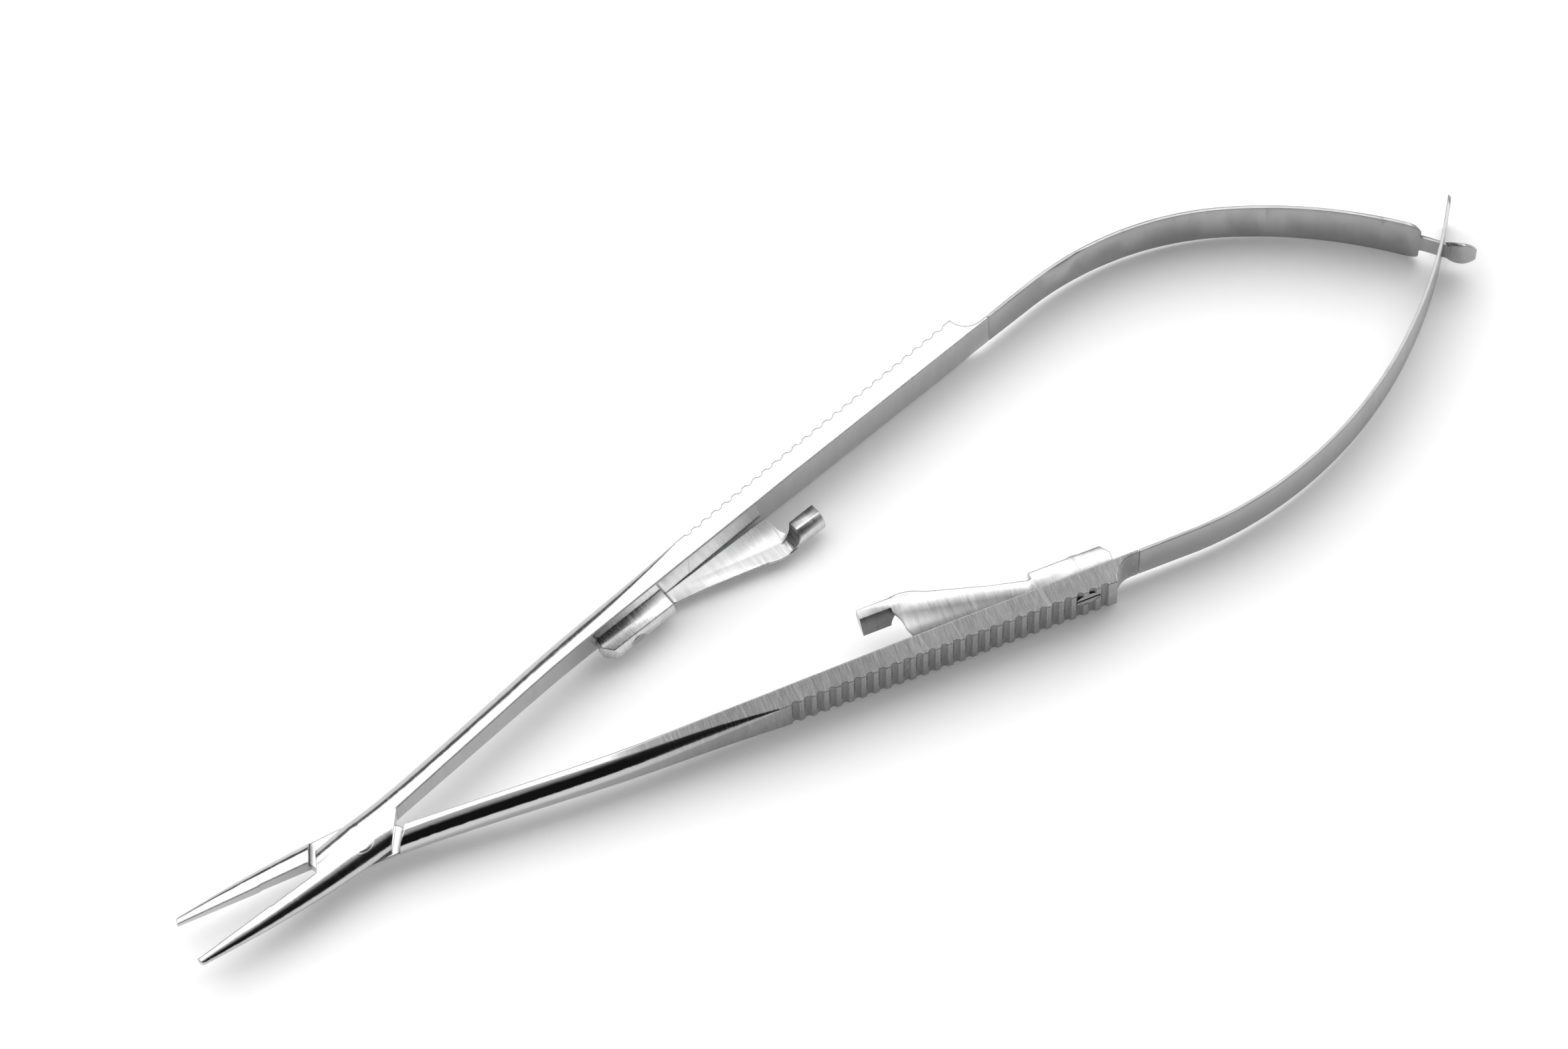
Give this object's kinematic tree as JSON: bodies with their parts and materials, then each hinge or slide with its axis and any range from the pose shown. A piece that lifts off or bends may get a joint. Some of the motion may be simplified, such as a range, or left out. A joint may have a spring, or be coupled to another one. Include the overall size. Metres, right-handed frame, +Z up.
{
  "type": "surgical needle holder",
  "caption": "Slim spring-handled needle holder: half-lap hinge, tapered jaws, ribbed grips, screwed-on catch pair and leaf springs hooked together at the tail.",
  "frame": {"origin": "middle of the bounding box at its bottom, as the instrument lies open on its side", "axes": "+X from the jaws to the spring tail, +Y towards the grip of the arm that carries the tongue spring, +Z up, along the hinge pin"},
  "size_m": [0.1408, 0.031, 0.008],
  "materials": {
    "polished_steel": "polished",
    "brushed_steel": "brushed across",
    "satin_steel": "satin matt",
    "screw_steel": "satin"
  },
  "bodies": {
    "outer": {"outer_arm": "polished_steel", "pivot_pin": "polished_steel", "outer_catch": "brushed_steel", "outer_catch_screw": "screw_steel"},
    "inner": {"inner_arm": "brushed_steel", "inner_catch": "brushed_steel", "inner_catch_screw": "screw_steel"},
    "tongue_leaf": {"tongue_spring": "satin_steel"},
    "slot_leaf": {"slot_spring": "satin_steel"}
  },
  "joints": [
    {"name": "close", "type": "hinge", "parent": "outer", "child": "inner", "pos_m": [-0.05173, 0, 0.004], "axis": [0, 0, 1], "range_deg": [0, 12], "stiffness_Nm_per_rad": 0.3},
    {"name": "tongue_flex", "type": "hinge", "parent": "outer", "child": "tongue_leaf", "pos_m": [0.026, 0.01388, 0.004], "axis": [0, 0, 1], "range_deg": [0, 17]},
    {"name": "slot_flex", "type": "hinge", "parent": "inner", "child": "slot_leaf", "pos_m": [0.026, -0.01388, 0.004], "axis": [0, 0, 1], "range_deg": [-17, 0]}
  ],
  "couplings": [
    {"joint": "tongue_flex", "follows": "close", "ratio": 1.39},
    {"joint": "slot_flex", "follows": "close", "ratio": -1.39}
  ]
}
